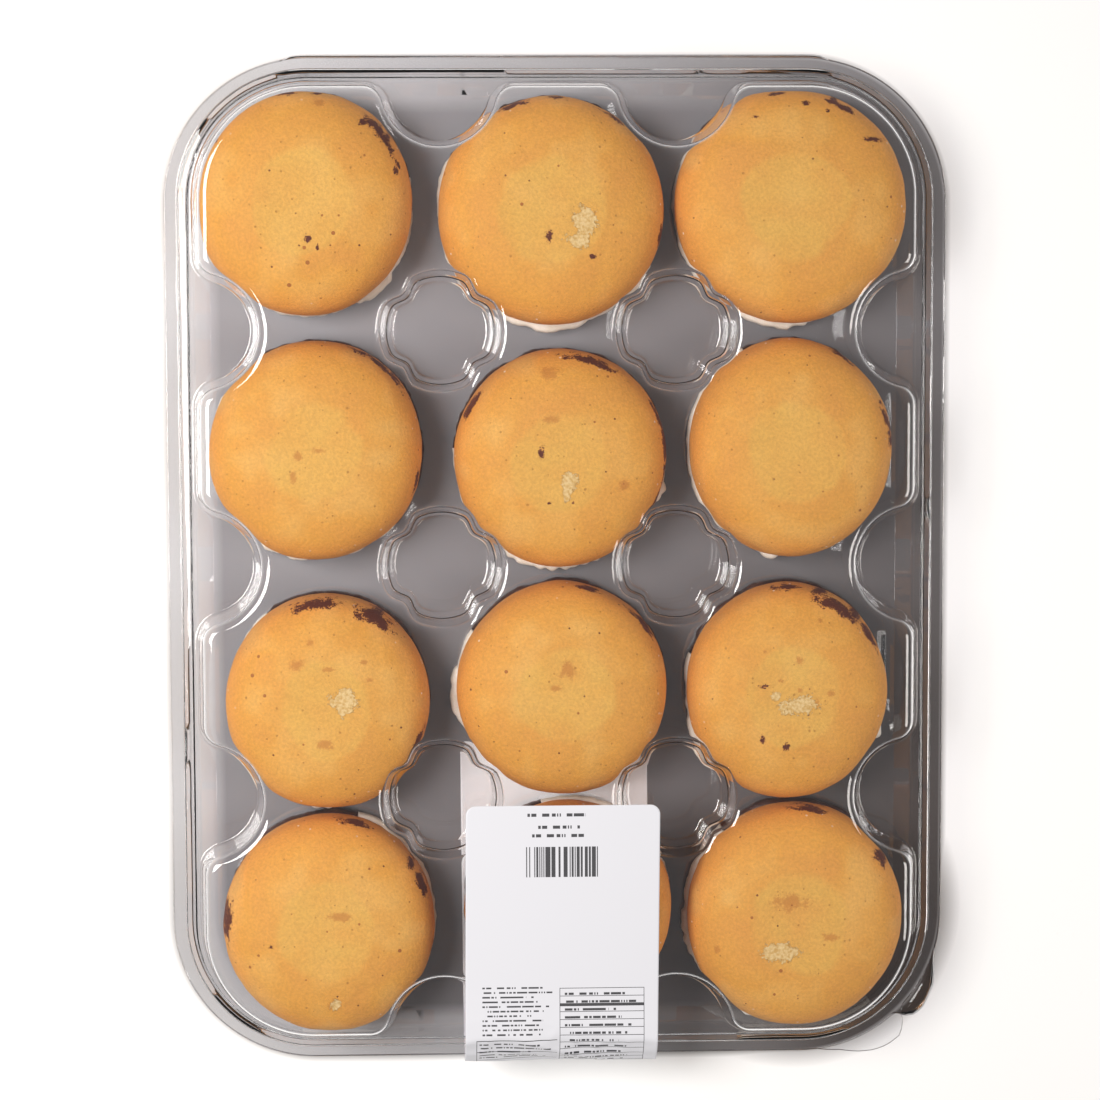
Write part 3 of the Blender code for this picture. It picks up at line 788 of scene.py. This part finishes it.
def cakePiece(cell, seed):
    # a superellipse dome (r^p + z^q = 1) over a rounded rim: r and z are swept from the middle of the
    # underside to the top, the bumps are added along the normal, and the top is pressed flat
    low, high = (np.array(corner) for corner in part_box(f"cake_{cell}"))
    middle, half = (low + high) / 2, (high - low) / 2
    under = np.linspace(0, 1, cake["underRings"])[:-1] * cake["under"]
    rim = np.linspace(0, math.pi / 2, cake["rimRings"])[:-1]
    dome = np.linspace(math.pi / 2, 0, cake["rows"])
    wide, tall = (2 / power for power in cake["power"])
    r = np.concatenate((under, cake["under"] + (1 - cake["under"]) * np.sin(rim), np.sin(dome) ** wide))
    r[-1] = 0
    z = np.concatenate(
        (
            np.full(len(under), low[2]),
            cake["widest"] - (cake["widest"] - low[2]) * np.cos(rim),
            cake["widest"] + (cake["peak"] - cake["widest"]) * np.cos(dome) ** tall,
        )
    )
    angle = np.linspace(0, math.tau, cake["columns"], endpoint=False)
    u, v = r[:, None] * np.cos(angle), r[:, None] * np.sin(angle)
    edge = edgeShare(angle, seed)
    level = np.broadcast_to(z[:, None], u.shape)
    points = np.stack((middle[0] + half[0] * u * edge, middle[1] + half[1] * v * edge, level), axis=-1)
    points = points.reshape(-1, 3)
    power, upwards = cake["bulge"]
    steep = r[:, None] ** power
    rise = (level - cake["widest"]) * upwards / (cake["peak"] - cake["widest"])
    slope = np.stack((u * steep, v * steep, rise), axis=-1).reshape(-1, 3)
    slope /= np.maximum(np.linalg.norm(slope, axis=1), 0.001)[:, None]
    u, v, rimShare = u.ravel(), v.ravel(), np.repeat(r, cake["columns"])
    ragged = layered(points, cake["ragged"], seed + 1)
    layers = {key: np.zeros(len(points)) for key in ("torn", "toast", "smear")}
    far, rough, soft = cake["markEdge"]
    for kind, right, above, width, tall in marks[cell]:
        away = np.hypot((u - right) / width, (v - above) / tall)
        cover = smooth(far - away + ragged * rough, 0.0, soft) * markStrength[kind]
        layers[kind] = np.maximum(layers[kind], cover)
    far, rough, soft = cake["streakEdge"]
    turned = np.degrees(np.arctan2(v, u))
    for at, spread, radius, width in streaks[cell]:
        away = np.hypot(((turned - at + 180) % 360 - 180) / spread, (np.hypot(u, v) - radius) / width)
        cover = smooth(far - away + ragged * rough, 0.0, soft) * markStrength["smear"]
        layers["smear"] = np.maximum(layers["smear"], cover)
    layers["smear"][z.repeat(cake["columns"]) < cake["widest"]] = 0
    lift = layered(points, cake["unevenness"], seed)
    lift += layers["torn"] * (layered(points, cake["crumbs"], seed + 3) - cake["tornDepth"])
    lift += layers["smear"] * cake["smearHeight"]
    points = points + slope * lift[:, None] * mm * smooth(points[:, 2], low[2], cake["widest"])[:, None]
    over = points[:, 2] - (cake["ceiling"] - cake["pressed"])
    layers["pressed"] = smooth(over, -0.1 * mm, 0.35 * mm) * (1 - layers["torn"])
    share, change, size = cake["pressedShare"]
    layers["pressed"] *= share + change * noise(points, size * mm, seed + 8)
    pressed = cake["ceiling"] - cake["pressed"] * np.exp(-np.maximum(over, 0) / cake["pressed"])
    points[:, 2] = np.where(over > 0, pressed, points[:, 2])
    layers["rim"] = np.where(points[:, 2] < cake["widest"], 1.0, rimShare)
    layers["patch"] = layered(points, cake["patches"], seed + 5)
    layers["freckle"] = noise(points, cake["freckles"], seed + 7)
    faces = gridFaces(len(r), cake["columns"])
    addPiece(f"sponge_{cell}", points, faces, sponge, f"cake_{cell}", layers)


# Icing: fondant-like, spread under the cake in two halves, pressed against the lid and squeezed a
# little past the cake's edge; smooth where it lies on the plastic, ragged where it broke off.
icing = {
    "rimSteps": 180,
    "seamSteps": 80,
    "overhang": 0.010,
    "ragged": ((0.016, 8.0), (0.009, 2.6), (0.004, 1.1)),  # share of the radius and size in mm
    "seam": 1.2 * mm,
    "dips": ((0.10, 9.0), (0.06, 3.0)),  # height and size in mm
    "cloud": 5.0 * mm,
    "grain": 0.7 * mm,
    "relief": 0.08 * mm,
    "hub": 0.378,  # how far from the cake's middle the middle of each half lies, as a share of its radius
    "underside": (0.94, 22),  # share of the outline and number of rings
    # the edge and the top: share of the outline and of the icing's height
    "section": (
        (0.965, 0.04),
        (0.985, 0.14),
        (0.997, 0.32),
        (1.0, 0.55),
        (0.995, 0.8),
        (0.98, 0.96),
        (0.95, 1.0),
        (0.5, 1.0),
        (0, 1.0),
    ),
}
squeezed = {
    # middle and half width of a place where the vanilla icing sticks out, in degrees, and how far in mm
    "r1c1": ((-50, 12, 1.7),),
    "r1c2": ((-95, 24, 1.7), (-40, 8, 1.3)),
    "r1c3": ((-100, 20, 1.8), (-45, 8, 1.4)),
    "r2c1": ((-115, 20, 1.6), (-70, 6, 1.2)),
    "r2c2": ((-95, 28, 1.7), (-20, 6, 1.6)),
    "r2c3": ((-100, 5, 1.2),),
    "r3c1": ((-140, 18, 1.5), (-100, 14, 1.6)),
    "r3c2": ((-172, 18, 1.7), (-90, 6, 1.4), (-38, 7, 1.4)),
    "r3c3": ((-148, 16, 1.6), (-24, 5, 2.2)),
    "r4c1": ((-95, 10, 1.5),),
    "r4c3": ((-168, 12, 1.5), (-110, 8, 1.2)),
}
finishes = {}
for name, code, deep, roughness in (
    ("chocolateIcing", "#43200F", "#2C1209", 0.38),
    ("vanillaIcing", "#F4EDE0", "#E6DCCB", 0.42),
):
    material, tree, shader = newFinish(name)
    where = addNode(tree, "TexCoord").outputs["Object"]
    cloud = addNode(tree, "TexNoise", {"Vector": where, "Scale": 1 / icing["cloud"], "Detail": 3.0})
    grain = addNode(tree, "TexNoise", {"Vector": where, "Scale": 1 / icing["grain"], "Detail": 2.0})
    colour = addNode(tree, "ValToRGB", {0: cloud}, ((0.35, linear(deep)), (0.65, linear(code))))
    height = addNode(tree, "Bump", {"Height": grain, "Strength": 0.5, "Distance": icing["relief"]})
    setInputs(shader, {"Base Color": colour, "Normal": height, "Roughness": roughness})
    finishes[name] = material


def icingPiece(kind, cell, seed):
    # half of the icing: its outline runs along the wavy seam and round the cake's edge; rings of that
    # outline, shrunk towards its middle, go from the middle of the flat underside to that of the top
    low, high = (np.array(corner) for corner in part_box(f"{kind}_{cell}"))
    cakeLow, cakeHigh = (np.array(corner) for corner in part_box(f"cake_{cell}"))
    boxes = (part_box(f"{name}_{cell}") for name in ("chocolate", "vanilla"))
    brown, white = (np.add(*map(np.array, box)) / 2 for box in boxes)
    middle, half = (cakeLow + cakeHigh) / 2, (cakeHigh - cakeLow) / 2
    facing = math.atan2(*(brown - white)[1::-1])
    sign = 1 if kind == "chocolate" else -1
    angle = facing + np.linspace(-math.pi / 2, math.pi / 2, icing["rimSteps"]) + (sign < 0) * math.pi
    rim = np.column_stack((np.cos(angle), np.sin(angle))) * half[:2] * edgeShare(angle, seed)[:, None]
    flat = np.column_stack((rim, np.zeros(len(rim))))
    wide = 1 + icing["overhang"] + layered(flat, icing["ragged"], seed + 11)
    for at, spread, out in squeezed.get(cell, ()) if kind == "vanilla" else ():
        away = (np.degrees(angle) - at + 180) % 360 - 180
        lump = np.maximum(1 - (away / spread) ** 2, 0) ** 0.5
        wide = wide + lump * (out * mm / half.mean()) * (0.85 + 0.3 * noise(flat, 2.1 * mm, seed + 15))
    rim = rim * wide[:, None]
    t = np.linspace(0, 1, icing["seamSteps"] + 2)[1:-1, None]
    seam = rim[-1] * (1 - t) + rim[0] * t
    along = np.array((math.cos(facing), math.sin(facing)))
    wave = np.sin(seam @ np.array((-along[1], along[0])) / (7 * mm) + seed)
    wave *= icing["seam"] * np.sin(math.pi * t[:, 0])
    seam = seam + (wave[:, None] + sign * 0.1 * mm) * along
    outline = np.vstack((rim, seam))
    hub = along * sign * half.mean() * icing["hub"]
    share, count = icing["underside"]
    rings = np.vstack((np.column_stack((np.linspace(0, share, count), np.zeros(count))), icing["section"]))
    xy = middle[:2] + hub + (outline - hub) * rings[:, :1, None]
    z = low[2] + (high[2] - low[2]) * rings[:, 1:]
    points = np.concatenate((xy, np.broadcast_to(z[..., None], (*xy.shape[:2], 1))), axis=-1).reshape(-1, 3)
    dip = layered(points, icing["dips"], seed + 21) + sum(height for height, size in icing["dips"])
    points[:, 2] += dip * mm * (1 - smooth(points[:, 2], low[2], low[2] + 3 * mm))
    faces = gridFaces(len(rings), len(outline))
    finish = finishes[kind + "Icing"]
    addPiece(f"{kind}Icing_{cell}", points, faces, finish, f"{kind}_{cell}")


for number, cell in enumerate(sorted(marks)):
    cakePiece(cell, 100 * number + 40)
    icingPiece("chocolate", cell, 100 * number + 40)
    icingPiece("vanilla", cell, 100 * number + 40)
print("cookies made")

# Label: coated white paper, stuck on the tray, carried round the front edge and stuck on the lid; it
# bridges the hollows of the edge and creases there. Its print is bars, dashes, rules and blocks.
labelLow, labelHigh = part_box("label")
label = {
    "paper": 0.14 * mm,
    "width": 63.5 * mm,
    "corner": 3.2 * mm,
    "drift": 0.9 * mm,
    "narrowing": 0.8 * mm,
    "rows": 260,
    "columns": 110,
    # y, z and the radius of the bend there, in mm, from its end on the tray to its end on the lid
    "path": (
        (-78.2, baseTop / mm + 0.05, 0),
        (-baseHalf[1] / mm - 1.4, baseTop / mm + 0.05, 6.0),
        (labelLow.y / mm + 4.02, 29.2, 3.0),
        (labelLow.y / mm + 0.62, 23.5, 3.0),
        (labelLow.y / mm + 0.62, 17.3, 0.9),
        (-baseHalf[1] / mm - 5.4, 6.5, 5.0),
        (-baseHalf[1] / mm + 1.0, 0.2, 5.0),
        (labelHigh.y / mm, 0.2, 0),
    ),
    "crumple": ((0.9, 11.0), (0.35, 4.5)),  # height and size in mm
    "fold": ((0.5, 0.4), (-0.3, 1.0)),  # what the creases' two ways are made of, across and down
    # where the crumpling begins, is full, grows weaker and ends, in mm past the edge of the base
    "crumpled": (-16, 3, 26, 40),
    "onTop": (-1, 4, 0.55),  # before here it is only this share as high
    "backPaintedLighter": (118.0, 122.0),  # from here on the gummed back is seen, painted whiter as painted light where it lies under the pack, in mm from its end on the tray
    "paperColours": ("#E0E0E6", "#FFFFFF"),
    "ink": ("#232226", 0.93),  # colour and how much of the paper it covers
    "gaps": ((1.6, 0.12), (0.42, 0.3)),  # length in mm and how many of such lengths are gaps
    "short": 0.3,  # how much of a row may be missing at its end
    "roughness": 0.42,
    "fibres": 0.6 * mm,
    "relief": 0.02 * mm,
}
prints = {
    # kind: left, right, top and bottom edges from the label's corner on the tray, in mm; step; share
    # inked, where 1 is a solid block
    "bars": ((20.2, 45.4, 13.6, 23.6, 0.33, 0.52),),
    "dashes": (
        (21.0, 44.0, 2.6, 4.0, 1.9, 0.55),
        (24.5, 41.0, 6.6, 8.0, 1.9, 0.55),
        (22.5, 43.0, 9.4, 10.8, 1.9, 0.55),
        (6.0, 30.0, 60.0, 76.5, 1.55, 0.36),
        (5.0, 29.5, 79.0, 88.0, 1.8, 0.34),
        (33.0, 57.5, 62.0, 90.0, 2.6, 0.30),
    ),
    "rules": (
        (31.4, 59.0, 60.4, 92.0, 2.6, 0.08),
        (4.0, 30.5, 77.6, 92.0, 5.2, 0.05),
        (31.4, 59.0, 65.5, 66.5, 1.0, 1.0),
        (31.3, 31.5, 60.4, 92.0, 1.0, 1.0),
        (58.9, 59.1, 60.4, 92.0, 1.0, 1.0),
        (4.0, 4.2, 77.6, 92.0, 1.0, 1.0),
    ),
}
paper, tree, shader = newFinish("coatedLabelPaper")
where = addNode(tree, "UVMap", uv_map="flat")
flat = addNode(tree, "SeparateXYZ", {0: where})
across, down = flat.outputs[0], flat.outputs[1]


def stepOf(value, first, size):
    # the number of the step that a place lies in, and how far into it
    place = addNode(tree, "Math", {0: value, 1: first}, operation="SUBTRACT")
    place = addNode(tree, "Math", {0: place, 1: size}, operation="DIVIDE")
    return [addNode(tree, "Math", {0: place}, operation=part) for part in ("FLOOR", "FRACT")]


def inkOf(kind, left, right, top, bottom, step, share):
    # the product of the masks that say where a block is inked: between its edges, on its lines or bars,
    # and for dashes off their gaps and before the end of the row, which is at random in its last third
    row, line = stepOf(down, top, step)
    if kind == "bars":
        bar = stepOf(across, left, step)[0]
        line = addNode(tree, "TexWhiteNoise", {1: bar}, noise_dimensions="1D")
    masks = [(line, share, "LESS_THAN")]
    for value, low, high in ((across, left, right), (down, top, bottom)):
        masks += [(value, low, "GREATER_THAN"), (value, high, "LESS_THAN")]
    if kind == "dashes":
        for size, gaps in label["gaps"]:
            cell = addNode(tree, "CombineXYZ", {0: stepOf(across, left, size)[0], 1: row})
            chance = addNode(tree, "TexWhiteNoise", {0: cell}, noise_dimensions="2D")
            masks.append((chance, gaps, "GREATER_THAN"))
        length = addNode(tree, "TexWhiteNoise", {1: row}, noise_dimensions="1D")
        end = {0: length, 1: (left - right) * label["short"], 2: right}
        end = addNode(tree, "Math", end, operation="MULTIPLY_ADD")
        masks.append((across, end, "LESS_THAN"))
    spot = 1.0
    for first, second, operation in masks:
        mask = addNode(tree, "Math", {0: first, 1: second}, operation=operation)
        spot = addNode(tree, "Math", {0: spot, 1: mask}, operation="MULTIPLY")
    return spot


ink = 0.0
for kind, blocks in prints.items():
    for block in blocks:
        ink = addNode(tree, "Math", {0: inkOf(kind, *block), 1: ink}, operation="MAXIMUM")
# the gummed back under the pack is painted whiter: painted light for the light it lacks there
start, end = label["backPaintedLighter"]
back = addNode(tree, "MapRange", {0: down, 1: start, 2: end})
coated, gummedPaintedLighter = (linear(code) for code in label["paperColours"])
colour = addNode(tree, "Mix", {0: back, 6: coated, 7: gummedPaintedLighter}, data_type="RGBA").outputs[2]
black, strength = label["ink"]
ink = addNode(tree, "Math", {0: ink, 1: strength}, operation="MULTIPLY")
colour = addNode(tree, "Mix", {0: ink, 6: colour, 7: linear(black)}, data_type="RGBA").outputs[2]
where = addNode(tree, "TexCoord").outputs["Object"]
fibres = addNode(tree, "TexNoise", {"Vector": where, "Scale": 1 / label["fibres"], "Detail": 3.0})
height = addNode(tree, "Bump", {"Height": fibres, "Strength": 0.25, "Distance": label["relief"]})
setInputs(shader, {"Base Color": colour, "Normal": height, "Roughness": label["roughness"]})


def labelPiece():
    # a strip swept along a path (y, z) round the edge: its place down the path by arc length, its width
    # rounded off at both ends by quarter circles; creases lift it along the path's normal at the edge
    path = roundedPath(label["path"], 8) * mm
    lengths = np.concatenate(([0], np.cumsum(np.linalg.norm(np.diff(path, axis=0), axis=1))))
    near = label["corner"] * np.sin(np.linspace(0, math.pi / 2, 9)[:-1]) ** 2
    between = np.linspace(near[-1] + 0.4 * mm, lengths[-1] - label["corner"], label["rows"])
    down = np.concatenate((near, between, (lengths[-1] - near)[::-1]))
    y, z = np.interp(down, lengths, path[:, 0]), np.interp(down, lengths, path[:, 1])
    dy, dz = np.gradient(y, down), np.gradient(z, down)
    share = down / down[-1]
    fromEnd = np.minimum(np.minimum(down, down[-1] - down), label["corner"])
    pulled = label["corner"] - np.sqrt(label["corner"] ** 2 - (label["corner"] - fromEnd) ** 2)
    across = np.linspace(-0.5, 0.5, label["columns"])
    width = label["width"] - label["narrowing"] * share
    x = across * (width - 2 * pulled)[:, None] + (label["drift"] * (1 - 2 * share))[:, None]
    y, z, run = (np.broadcast_to(value[:, None], x.shape) for value in (y, z, down))
    sheet = np.stack((x, y, z), axis=-1)
    flat = np.stack((x, run, np.zeros(x.shape)), axis=-1).reshape(-1, 3)
    folded = np.column_stack((flat[:, :2] @ np.transpose(label["fold"]), flat[:, 2]))
    crease = 0
    for number, (high, size) in enumerate(label["crumple"]):
        crease = crease + high * (1 - np.abs(noise(folded, size * mm, 5 + number))) ** 2
    past = flat[:, 1] - baseHalf[1] - path[0, 0]
    begins, full, weaker, ends = (place * mm for place in label["crumpled"])
    atEdge = smooth(past, begins, full) * (1 - smooth(past, weaker, ends))
    begins, full, share = label["onTop"]
    onTop = 1 - smooth(past, begins * mm, full * mm)
    lift = crease * atEdge * mm * (1 - (1 - share) * onTop)
    normal = np.stack((np.zeros(len(down)), -dz, dy), axis=-1)
    normal *= np.sign(normal[:1, 2:])
    points = sheet.reshape(-1, 3) + np.repeat(normal, label["columns"], axis=0) * lift[:, None]
    points[:, 1] = np.maximum(points[:, 1], labelLow.y + 2 * label["paper"])
    points[:, 2] = np.minimum(points[:, 2], labelHigh.z - 2 * label["paper"])
    uv = np.column_stack((flat[:, 0] / mm + label["width"] / mm / 2, flat[:, 1] / mm))
    faces = gridFaces(len(down), label["columns"], False)
    piece = addPiece("paperLabel", points, faces, paper, "label", uv=uv)
    top = max(piece.data.polygons, key=lambda face: face.center.z)
    if top.normal.z < 0:
        piece.data.flip_normals()
    thicken(piece, "paper", label["paper"], 1.0)


labelPiece()
print("label made")
